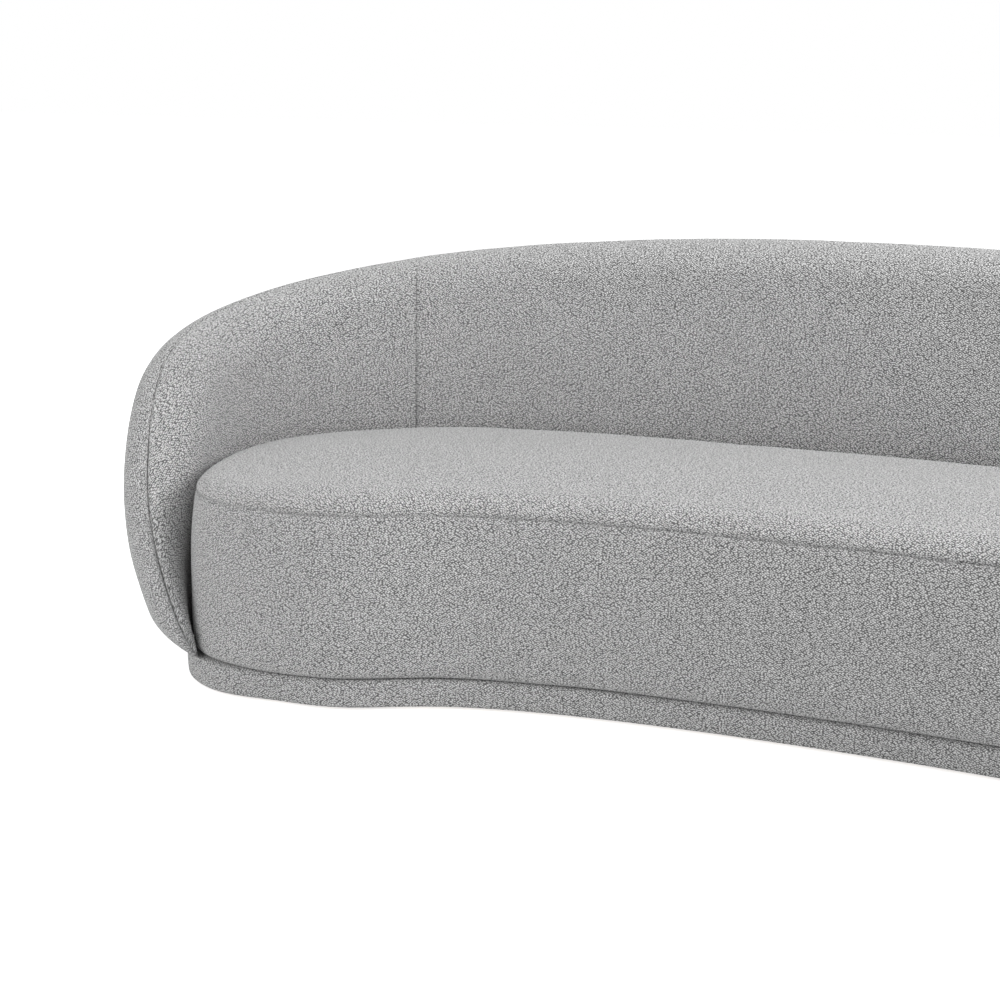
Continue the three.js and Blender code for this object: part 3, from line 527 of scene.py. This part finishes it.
def wall_inner(distance, height):
    """How far out the wall's inner face lies."""
    share = np.clip((height - ROLL_HEIGHT) / (BACK_HEIGHT - ROLL_HEIGHT), 0, None)
    opening = ARM_OPENING * (1 - smooth(behind_arm(distance) / OPENING_LENGTH))
    return SEAT_GAP + WALL_LEAN * share ** LEAN_BOW + opening


def wall_hem(distance):
    """Height of the outer cloth's foot: over the plinth's cloth at the arm's front, lower behind it."""
    return RAISED_HEM + (DECK_BOTTOM - RAISED_HEM) * rise_over(behind_arm(distance), HEM_RAISE)


def wall_outer(distance, height):
    """How far out the wall's outer face lies, tucked in at its foot."""
    foot = ARM_FOOT + (WALL_FOOT - ARM_FOOT) * smooth(behind_arm(distance) / ARM_TAPER)
    up = (height - DECK_BOTTOM) / (BACK_HEIGHT - DECK_BOTTOM)
    turned = np.clip(1 - (height - wall_hem(distance)) / WALL_TUCK_RISE, 0, 1)
    return foot + (WALL_TOP - foot) * np.sin(math.pi / 2 * up) - WALL_TUCK * turned ** 2


def wall_half(distance, height):
    """Half of the wall's thickness."""
    return (wall_outer(distance, height) - wall_inner(distance, height)) / 2


class Column:
    """One section line of the wall, from the crest down to the foot. Way is 0 at the left arm's
    foot, 1 at the middle of the back and 2 at the right arm's foot."""

    def __init__(self, way):
        share = min(way, 2 - way)
        walked = share * CREST_LENGTH
        self.mirrored = way > 1
        self.top = np.array([np.interp(walked, CREST_WALKED, CREST[:, k]) for k in (0, 1)])
        along = [np.interp(walked, CREST_WALKED, CREST_ALONG[:, k]) for k in (0, 1)]
        inward = np.array([along[1], -along[0]])
        fan = min(share / ARM_FAN_SHARE, 1)
        self.foot = np.array([self.top[0] + 4 * ARM_FAN * fan * (1 - fan), DECK_BOTTOM])
        self.end = float((self.foot - self.top) @ inward)
        self.drop = self.top[1] - DECK_BOTTOM
        self.roll = float(wall_half(*self.top))

    def depth_at(self, height):
        """How far below the crest a height lies, square to the crest."""
        return self.end * (self.top[1] - height) / self.drop

    def place(self, depth):
        """Distances along the outline and heights at depths below the crest."""
        depth = np.atleast_1d(depth)
        return self.top + np.outer(depth / self.end, self.foot - self.top)

    def face_out(self, side, depth, swell_share, inset):
        """How far out the surface lies at depths below the crest. Side -1 is the seat's, 1 the outside."""
        distance, height = self.place(depth).T
        middle = (wall_inner(distance, height) + wall_outer(distance, height)) / 2
        swell = (wall_half(distance, height) - inset) * swell_share
        return middle + side * np.maximum(swell, SEAM_GAP / 2)

    def points(self, depth, out):
        """Points in space at depths below the crest and distances out from the outline."""
        distance, height = self.place(depth).T
        return spots(2 * HALF - distance if self.mirrored else distance, out, height)

    def rows(self, bottom, inset, roll_rows, face_rows, seam):
        """Depths, and how far the section has swelled at each, from the crest to a depth."""
        roll = max(self.roll - inset, 2 * MM)
        low = min(roll, ROLL_LIMIT_SHARE * (bottom - inset))
        last = math.acos(max(1 - low / roll, -1))
        arc = roll * last
        edge = [step / arc * last for step in SEAM_STEPS[:-1] if step < arc / 2] if seam else [0.0]
        missing = len(SEAM_STEPS) - 1 - len(edge) if seam else 0
        start = edge[-1]
        turns = np.array(edge + list(np.linspace(start, last, roll_rows + missing + 1)[1:]))
        depth = inset + roll * (1 - np.cos(turns))
        if seam:
            depth += np.minimum(turn_in(turns * roll), SEAM_LIMIT_SHARE * bottom)
        face = np.linspace(inset + low, bottom, face_rows + 1)[1:]
        swelled = np.sqrt(np.clip(1 - (1 - np.clip((face - inset) / roll, 0, 1)) ** 2, 0, 1))
        return np.concatenate([depth, face]), np.concatenate([np.sin(turns), swelled])


def hem_rows(column, hem, share):
    """The outer cloth's foot, turned in under the deck and back up inside, as depths and outs."""
    foot = float(column.face_out(1, column.depth_at(hem), 1.0, 0.0)[0])
    above = float(column.face_out(1, column.depth_at(FOOT_LEVEL + 1.5 * MM), 1.0, 0.0)[0])
    beside_plinth = hem < PLINTH_TOP + PLINTH_RISE
    width = min(HEM_WIDTH, foot - PLINTH_SPREAD + 2 * MM) if beside_plinth else HEM_WIDTH
    # Up from the hem, and back from its edge
    turned = (
        (1.5 * MM, 0.8 * MM),
        (-0.4 * MM, 3 * MM),
        (-1.1 * MM, 6 * MM),
        (-1.1 * MM, width),
        (-0.3 * MM, width),
        (-0.3 * MM, HEM_THICK),
    )
    rows = [(column.depth_at(hem + up), foot - back * share) for up, back in turned]
    rows.append((column.depth_at(FOOT_LEVEL + 1.5 * MM), above - HEM_THICK * share))
    return np.array(rows)


def wall_section(column, side, edge_sink):
    """The closed section of one padded layer at a column, as places and as flat cloth. Edge sink draws
    the cloth in at a panel seam."""
    hem = float(wall_hem(column.foot[0]))
    lowered = 1 - float(rise_over(behind_arm(column.foot[0]), INNER_FOOT_RUN))
    foot = FOOT_LEVEL - (FOOT_LEVEL - INNER_FOOT) * lowered
    stand = column.depth_at(foot)
    pad = min(WALL_PAD, PAD_LIMIT_SHARE * stand)
    bottom = stand if side < 0 else column.depth_at(hem + 4 * MM)
    depth, swelled = column.rows(bottom, 0.0, *CLOTH_ROWS, True)
    parts = [(depth, column.face_out(side, depth, swelled, edge_sink))]
    if side > 0:
        parts.append(hem_rows(column, hem, pad / WALL_PAD).T)
        stand = column.depth_at(FOOT_LEVEL + 3 * MM)
    depth, swelled = column.rows(max(stand, FILLING_DEPTH_SHARE * pad), pad, *FILLING_ROWS, False)
    parts.append((depth[::-1], column.face_out(side, depth, swelled, pad)[::-1]))
    depth, out = np.concatenate(parts, axis=1)
    places = column.points(depth, out)
    line = column.foot - column.top
    line /= np.linalg.norm(line)
    laid = column.top + np.outer(run_along(places[None])[0], line)
    if column.mirrored:
        laid[:, 0] = 2 * HALF - laid[:, 0]
    return places, laid


def ways_between(start, end):
    """Ways for columns about a step apart along the crest."""
    count = max(2, int(round((end - start) * CREST_LENGTH / COLUMN_STEP)) + 1)
    return list(np.linspace(start, end, count))


def make_wall_layer(name, ways, side, seam_ways):
    """One padded layer through its columns, drawn in where they come near an upright seam."""
    sections = []
    for way in ways:
        beside_seam = min(abs(way - seam) for seam in seam_ways) * CREST_LENGTH
        sink = float(turn_in(beside_seam, PANEL_SEAM_DEPTH))
        sections.append(wall_section(Column(way), side, sink))
    places = np.array([section[0] for section in sections])
    laid = np.array([section[1] for section in sections])
    # The outline's length grows with the distance out from it.
    samples = np.linspace(0, 2 * HALF, 2 * CURVE_SAMPLES)
    stretched = walk_along(spots(samples, INNER_STRETCH_OUT if side < 0 else OUTER_STRETCH_OUT, 0.0))
    laid[:, :, 0] = np.interp(laid[:, :, 0], samples, stretched)
    faces, corners = grid(places, laid, False)
    points = places.shape[1]
    for start, order in ((0, -1), ((len(ways) - 1) * points, 1)):
        end = list(range(start, start + points))[::order]
        faces.append(tuple(end))
        corners.append([places.reshape(-1, 3)[n, 1:] for n in end])
    piece = make_mesh(name, places.reshape(-1, 3), faces, corners)
    soft_waves(piece)
    return piece


def make_wall():
    """The wall's inner cloth in three panels, and its outer cloth."""
    gap = SEAM_GAP / 2 / CREST_LENGTH
    seam = PANEL_SEAM_WAY
    turn = [step / CREST_LENGTH for step in SEAM_STEPS]
    to_seam = ways_between(WALL_START_WAY, seam - turn[-1])
    from_seam = ways_between(seam + turn[-1], 1)
    arm = to_seam + [seam - gap - t for t in turn[-2::-1]]
    half = [seam + gap + t for t in turn[:-1]] + from_seam
    middle = half + [2 - way for way in half[-2::-1]]
    whole = to_seam + [seam - t for t in turn[-2:0:-1]] + [seam + t for t in turn[:-1]] + from_seam
    whole += [2 - way for way in whole[-2::-1]]
    return (
        make_wall_layer("back_inner_left", arm, -1, (seam,)),
        make_wall_layer("back_inner_middle", middle, -1, (seam, 2 - seam)),
        make_wall_layer("back_inner_right", [2 - way for way in arm], -1, (2 - seam,)),
        make_wall_layer("back_outer", whole, 1, (seam, 2 - seam)),
    )


# Plinth

def make_plinth_wrap():
    """Padded cloth round the plinth, turned over its top edge and in under the seat."""
    distance = seat_stations(FRONT_STEPS, NOSE_STEPS, REAR_STEPS)
    behind = behind_arm(distance)
    spread = PLINTH_SPREAD * rise_over(fold(distance), (NOSE_AT, ARM_FRONT_AT))
    fallen = rise_over(behind, LEDGE_DROP)
    top = PLINTH_TOP + PLINTH_RISE * (1 - fallen)
    ledge = PLINTH_PAD + (PLINTH_LEDGE + spread - PLINTH_PAD) * (1 - fallen)
    corner = PLINTH_CORNER + (ARM_LEDGE_CORNER - PLINTH_CORNER) * smooth(behind / CORNER_RUN)
    rings = []

    def ring(out, height):
        """One ring of points round the plinth."""
        rings.append(spots(distance, out + spread, height))

    ring(-PLINTH_PAD, GLIDE_TOP)
    ring(-0.5 * PLINTH_PAD, GLIDE_TOP)
    for share in PLINTH_FACE_SHARES:
        bow = PLINTH_BOW * (1 - math.sin(math.pi * share) ** 0.5)
        ring(-bow, GLIDE_TOP + (top - corner - GLIDE_TOP) * share)
    for turn in np.linspace(0, math.pi / 2, CORNER_ROWS)[1:]:
        ring(-corner * (1 - math.cos(turn)) - PLINTH_BOW, top - corner * (1 - math.sin(turn)))
    for share in LEDGE_SHARES:
        ring(-corner - PLINTH_BOW - (ledge - corner) * share, top - LEDGE_FALL * share)
    ring(-ledge - LEDGE_THICK / 2, top - LEDGE_THICK)
    ring(-PLINTH_PAD, top - LEDGE_THICK - 0.2 * MM)
    rings = np.stack(rings, 1)
    faces, laid = grid(rings, band_cloth(rings, distance, 0.0), True)
    return make_mesh("plinth_wrap", rings.reshape(-1, 3), faces, laid)


# Shader groups

def new_group(name, inputs, outputs):
    """An empty node group with named sockets: (name, kind, default)."""
    group = bpy.data.node_groups.new(name, "ShaderNodeTree")
    for socket, kind, value in inputs:
        made = group.interface.new_socket(socket, in_out="INPUT", socket_type=kind)
        if value is not None:
            made.default_value = value
    for socket, kind in outputs:
        group.interface.new_socket(socket, in_out="OUTPUT", socket_type=kind)
    return group, group.nodes.new("NodeGroupInput"), group.nodes.new("NodeGroupOutput")


class Wiring:
    """Short ways to add nodes to a tree and join them."""

    def __init__(self, tree):
        self.tree = tree

    def put(self, target, value):
        """Join a socket to another one, or give it a value."""
        if isinstance(value, bpy.types.NodeSocket):
            self.tree.links.new(value, target)
        else:
            target.default_value = value

    def node(self, kind, values=None, **settings):
        """A new node, with values on its sockets."""
        made = self.tree.nodes.new(kind)
        for key, value in settings.items():
            setattr(made, key, value)
        for key, value in (values or {}).items():
            self.put(made.inputs[key], value)
        return made

    def math(self, operation, a, b=0.0):
        """One step of arithmetic."""
        return self.node("ShaderNodeMath", {0: a, 1: b}, operation=operation).outputs[0]

    def vector(self, operation, a, b):
        """One step of arithmetic on vectors."""
        return self.node("ShaderNodeVectorMath", {0: a, 1: b}, operation=operation).outputs[0]

    def blend(self, share, a, b):
        """A colour between two others."""
        made = self.node("ShaderNodeMix", {0: share}, data_type="RGBA")
        self.put(made.inputs[6], a)
        self.put(made.inputs[7], b)
        return made.outputs[2]

    def remap(self, value, low, high, new_low, new_high):
        """Move a value from one range to another."""
        values = {0: value, 1: low, 2: high, 3: new_low, 4: new_high}
        return self.node("ShaderNodeMapRange", values).outputs[0]


def looped_cloth_group():
    """Yarn loops in staggered rows, uneven and a little fuzzy: a height, and a tone that follows the height
    as painted shade in the hollows between loops, with a little that differs at random from loop to loop.
    """
    group, start, end = new_group(
        "looped_cloth",
        (
            ("Loop Width", "NodeSocketFloat", LOOP_SIZE[0]),
            ("Row Height", "NodeSocketFloat", LOOP_SIZE[1]),
            ("Unevenness", "NodeSocketFloat", LOOP_UNEVENNESS),
            ("Fuzz", "NodeSocketFloat", LOOP_FUZZ),
        ),
        (("Height", "NodeSocketFloat"), ("Tone", "NodeSocketFloat")),
    )
    wire = Wiring(group)
    flat = wire.node("ShaderNodeUVMap", uv_map=FLAT_CLOTH).outputs["UV"]
    drift = wire.node("ShaderNodeTexNoise", {"Vector": flat, "Scale": LOOP_DRIFT_SCALE, "Detail": 1.0},
                      noise_dimensions="2D").outputs["Color"]
    moved = wire.node("ShaderNodeVectorMath", {0: wire.vector("SUBTRACT", drift, (0.5, 0.5, 0.5))},
                      operation="SCALE")
    wire.put(moved.inputs["Scale"], LOOP_DRIFT)
    parts = wire.node("ShaderNodeSeparateXYZ", {0: wire.vector("ADD", flat, moved.outputs[0])})
    across = wire.math("DIVIDE", parts.outputs["X"], start.outputs["Loop Width"])
    along = wire.math("DIVIDE", parts.outputs["Y"], start.outputs["Row Height"])
    lean_right = wire.math("MULTIPLY", wire.math("ADD", across, along), 0.5)
    lean_left = wire.math("MULTIPLY", wire.math("SUBTRACT", across, along), 0.5)
    staggered = wire.node("ShaderNodeCombineXYZ", {0: lean_right, 1: lean_left}).outputs[0]
    scatter = {"Vector": staggered, "Scale": 1.0, "Randomness": start.outputs["Unevenness"]}
    loops = wire.node("ShaderNodeTexVoronoi", scatter, voronoi_dimensions="2D")
    fuzz = {"Vector": flat, "Scale": LOOP_FIBRE_SCALE, "Detail": 2.0, "Roughness": 0.7}
    fibre = wire.node("ShaderNodeTexNoise", fuzz, noise_dimensions="2D").outputs["Fac"]
    round_loop = wire.remap(loops.outputs["Distance"], 0.0, 0.5, 1.0, 0.0)
    height = wire.math("ADD", wire.math("MULTIPLY", round_loop, LOOP_ROUND_SHARE),
                       wire.math("MULTIPLY", fibre, start.outputs["Fuzz"]))
    each = wire.node("ShaderNodeSeparateColor", {0: loops.outputs["Color"]}).outputs[1]
    # The tone is mostly the loop's height, painted shade that darkens the hollows between loops; the rest is
    # each loop's own random tone.
    tone = wire.math("ADD", wire.math("MULTIPLY", height, 1 - LOOP_EACH_SHARE),
                     wire.math("MULTIPLY", each, LOOP_EACH_SHARE))
    wire.put(end.inputs["Height"], height)
    wire.put(end.inputs["Tone"], tone)
    return group


def wood_grain_group():
    """Long grain with growth rings and pores: a tone and a height."""
    group, start, end = new_group(
        "wood_grain",
        (("Stretch", "NodeSocketVector", (1.0, 1.0, 1.0)), ("Ring Size", "NodeSocketFloat", 0.02)),
        (("Tone", "NodeSocketFloat"), ("Height", "NodeSocketFloat")),
    )
    wire = Wiring(group)
    place = wire.node("ShaderNodeTexCoord").outputs["Object"]
    stretched = wire.vector("MULTIPLY", place, start.outputs["Stretch"])
    scale = wire.math("DIVIDE", 1.0, start.outputs["Ring Size"])
    drift = wire.node("ShaderNodeTexNoise", {"Vector": stretched, "Scale": wire.math("MULTIPLY", scale, 0.3),
                                             "Detail": 4.0}).outputs["Fac"]
    rings = wire.math("SINE", wire.math("MULTIPLY", drift, 60.0))
    pores = wire.node("ShaderNodeTexNoise", {"Vector": stretched, "Scale": wire.math("MULTIPLY", scale, 14.0),
                                             "Detail": 3.0}).outputs["Fac"]
    tone = wire.math("ADD", wire.remap(rings, -1.0, 1.0, 0.2, 0.6), wire.math("MULTIPLY", pores, 0.4))
    wire.put(end.inputs["Tone"], tone)
    wire.put(end.inputs["Height"], pores)
    return group


def strap_weave_group():
    """Crossing threads, as in woven straps and lining: a height."""
    group, start, end = new_group(
        "strap_weave", (("Thread Size", "NodeSocketFloat", 0.0015),), (("Height", "NodeSocketFloat"),))
    wire = Wiring(group)
    place = wire.node("ShaderNodeTexCoord").outputs["Object"]
    parts = wire.node("ShaderNodeSeparateXYZ", {0: place})
    turns = wire.math("DIVIDE", 2 * math.pi, start.outputs["Thread Size"])
    across = wire.math("SINE", wire.math("MULTIPLY", parts.outputs["X"], turns))
    along = wire.math("SINE", wire.math("MULTIPLY", parts.outputs["Y"], turns))
    wire.put(end.inputs["Height"], wire.remap(wire.math("MULTIPLY", across, along), -1.0, 1.0, 0.0, 1.0))
    return group


# Materials

def new_material(name):
    """A material whose one shader takes values and wires."""
    material = bpy.data.materials.new(name)
    material.use_nodes = True
    tree = material.node_tree
    tree.nodes.clear()
    wire = Wiring(tree)
    shader = wire.node("ShaderNodeBsdfPrincipled")
    output = wire.node("ShaderNodeOutputMaterial")
    tree.links.new(shader.outputs[0], output.inputs["Surface"])
    return material, wire, shader


def use_group(wire, group, values):
    """A group's node in a material, with values on its sockets."""
    made = wire.node("ShaderNodeGroup", node_tree=group)
    for key, value in values.items():
        wire.put(made.inputs[key], value)
    return made


def grey(level):
    """A neutral colour."""
    return (level, level, level, 1.0)


def looped_cloth_material(group):
    """Matt wool-like loops, with painted shade in the hollows between them and light grey on top."""
    material, wire, shader = new_material("grey_looped_cloth")
    cloth = use_group(wire, group, {})
    # Base colour with painted shade: dark where the loops sink, light grey on their tops
    share = wire.remap(cloth.outputs["Tone"], *LOOP_TONE_RANGE, 0.0, 1.0)
    wire.put(shader.inputs["Base Color"], wire.blend(share, grey(LOOP_PAINTED_SHADE), grey(LOOP_LIGHT)))
    bump = wire.node("ShaderNodeBump", {"Height": cloth.outputs["Height"], "Distance": LOOP_BUMP})
    wire.put(shader.inputs["Normal"], bump.outputs[0])
    shader.inputs["Roughness"].default_value = 0.95
    shader.inputs["Specular IOR Level"].default_value = 0.1
    shader.inputs["Sheen Weight"].default_value = 0.3
    shader.inputs["Sheen Roughness"].default_value = 0.5
    return material


def timber_material(group):
    """Unfinished wood of the frame."""
    material, wire, shader = new_material("plywood_and_pine")
    grain = use_group(wire, group, {"Stretch": (0.25, 1.0, 1.0), "Ring Size": 0.03})
    wire.put(shader.inputs["Base Color"], wire.blend(grain.outputs["Tone"], WOOD_DARK, WOOD_LIGHT))
    pores = {"Height": grain.outputs["Height"], "Distance": 0.0003, "Strength": 0.6}
    bump = wire.node("ShaderNodeBump", pores)
    wire.put(shader.inputs["Normal"], bump.outputs[0])
    shader.inputs["Roughness"].default_value = 0.7
    return material


def woven_material(name, group, dark, light, thread):
    """Plain woven straps or lining."""
    material, wire, shader = new_material(name)
    weave = use_group(wire, group, {"Thread Size": thread})
    wire.put(shader.inputs["Base Color"], wire.blend(weave.outputs["Height"], grey(dark), grey(light)))
    bump = wire.node("ShaderNodeBump", {"Height": weave.outputs["Height"], "Distance": 0.0004})
    wire.put(shader.inputs["Normal"], bump.outputs[0])
    shader.inputs["Roughness"].default_value = 0.85
    return material


def grained_material(name, colour, roughness, metallic, size):
    """Moulded plastic or turned steel: fine grain in its roughness and surface."""
    material, wire, shader = new_material(name)
    place = wire.node("ShaderNodeTexCoord").outputs["Object"]
    fine = {"Vector": place, "Scale": 1.0 / size, "Detail": 2.0}
    grain = wire.node("ShaderNodeTexNoise", fine).outputs["Fac"]
    wire.put(shader.inputs["Roughness"], wire.remap(grain, 0.3, 0.7, roughness - 0.08, roughness + 0.08))
    bump = wire.node("ShaderNodeBump", {"Height": grain, "Distance": 0.0001})
    wire.put(shader.inputs["Normal"], bump.outputs[0])
    shader.inputs["Base Color"].default_value = colour
    shader.inputs["Metallic"].default_value = metallic
    return material


# Build

def dress(piece, material, replaced):
    """A padded cloth piece, which stands for the solids it takes the place of."""
    piece.data.materials.append(material)
    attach(piece, "root")
    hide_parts(*replaced)


def make_floor():
    """A pale floor, white to the camera and still darker where the sofa shades it."""
    size = FLOOR_HALF_SIZE
    mesh = bpy.data.meshes.new("floor")
    corners = [(-size, -size, 0), (size, -size, 0), (size, size, 0), (-size, size, 0)]
    mesh.from_pydata(corners, [], [(0, 1, 2, 3)])
    floor = bpy.data.objects.new("floor", mesh)
    bpy.context.scene.collection.objects.link(floor)
    material = bpy.data.materials.new("pale_floor")
    material.use_nodes = True
    tree = material.node_tree
    tree.nodes.clear()
    wire = Wiring(tree)
    matt = wire.node("ShaderNodeBsdfDiffuse", {"Color": grey(FLOOR_GREY)})
    path = wire.node("ShaderNodeLightPath")
    seen = wire.math("MAXIMUM", path.outputs["Is Camera Ray"], path.outputs["Is Glossy Ray"])
    strength = wire.math("MULTIPLY", seen, FLOOR_GLOW)
    glow = wire.node("ShaderNodeEmission", {"Color": grey(1.0), "Strength": strength})
    both = wire.node("ShaderNodeAddShader")
    tree.links.new(matt.outputs[0], both.inputs[0])
    tree.links.new(glow.outputs[0], both.inputs[1])
    output = wire.node("ShaderNodeOutputMaterial")
    tree.links.new(both.outputs[0], output.inputs["Surface"])
    mesh.materials.append(material)


def make_world():
    """Plain white to look at, and a soft even light on the sofa."""
    world = bpy.data.worlds.new("studio")
    world.use_nodes = True
    bpy.context.scene.world = world
    tree = world.node_tree
    tree.nodes.clear()
    wire = Wiring(tree)
    path = wire.node("ShaderNodeLightPath")
    seen = wire.math("MAXIMUM", path.outputs["Is Camera Ray"],
                     wire.math("MAXIMUM", path.outputs["Is Glossy Ray"], path.outputs["Is Transmission Ray"]))
    strength = wire.remap(seen, 0.0, 1.0, SKY_LIGHT, 1.0)
    sky = wire.node("ShaderNodeBackground", {"Color": grey(1.0), "Strength": strength})
    output = wire.node("ShaderNodeOutputWorld")
    tree.links.new(sky.outputs[0], output.inputs["Surface"])


def make_lamp(name, place, target, size, power):
    """A soft box that points at a target."""
    light = bpy.data.lights.new(name, "AREA")
    light.shape = "RECTANGLE"
    light.size, light.size_y = size
    light.energy = power
    lamp = bpy.data.objects.new(name, light)
    lamp.location = place
    lamp.rotation_mode = "QUATERNION"
    lamp.rotation_quaternion = (Vector(target) - Vector(place)).to_track_quat("-Z", "Y")
    bpy.context.scene.collection.objects.link(lamp)


def make_camera():
    """From the sofa's front right, looking down at about 17 degrees."""
    camera = bpy.data.objects.new("camera", bpy.data.cameras.new("camera"))
    camera.data.sensor_width = SENSOR_WIDTH
    camera.data.lens = LENS
    camera.location = (CAMERA_SIDE, FRONT_Y - CAMERA_BACK, CAMERA_HEIGHT)
    level = math.cos(CAMERA_TILT)
    ahead = Vector((-math.sin(CAMERA_TURN) * level, math.cos(CAMERA_TURN) * level, -math.sin(CAMERA_TILT)))
    camera.rotation_mode = "QUATERNION"
    camera.rotation_quaternion = ahead.to_track_quat("-Z", "Y")
    bpy.context.scene.collection.objects.link(camera)
    bpy.context.scene.camera = camera


def dress_frame(timber, strap, lining, plastic, steel):
    """Finishes for the solids that stay as they are, told by the start of their names."""
    kinds = (("webbing_", strap), ("dust_cover", lining), ("glide_", plastic), ("back_bolt_", steel))
    for name in sorted(nodes):
        finish = next((material for start, material in kinds if name.startswith(start)), timber)
        mesh = nodes[name].data
        mesh.materials.clear()
        mesh.materials.append(finish)


make_camera()
bpy.context.scene.view_settings.view_transform = "Standard"

cloth = looped_cloth_material(looped_cloth_group())
weave = strap_weave_group()
dress_frame(
    timber_material(wood_grain_group()),
    woven_material("black_strap", weave, 0.01, 0.05, 0.002),
    woven_material("black_lining", weave, 0.01, 0.03, 0.0012),
    grained_material("black_plastic", PLASTIC_BLACK, 0.5, 0.0, 0.0006),
    grained_material("zinc_steel", ZINC, 0.35, 1.0, 0.0004),
)

dress(make_plinth_wrap(), cloth, ["plinth_cover"])
dress(make_seat_border(), cloth, ["seat_border_cover", "seat_side_pad"])
dress(make_seat_top(), cloth, ["seat_top_cover", "seat_foam_topper", "seat_foam_core"])
inner_left, inner_middle, inner_right, outer = make_wall()
dress(inner_left, cloth, ["back_inner_cover_left"])
dress(inner_middle, cloth, ["back_inner_cover_middle", "back_inner_foam"])
dress(inner_right, cloth, ["back_inner_cover_right"])
dress(outer, cloth, ["back_outer_cover", "back_outer_foam"])

make_floor()
make_world()
for lamp in LAMPS:
    make_lamp(*lamp)
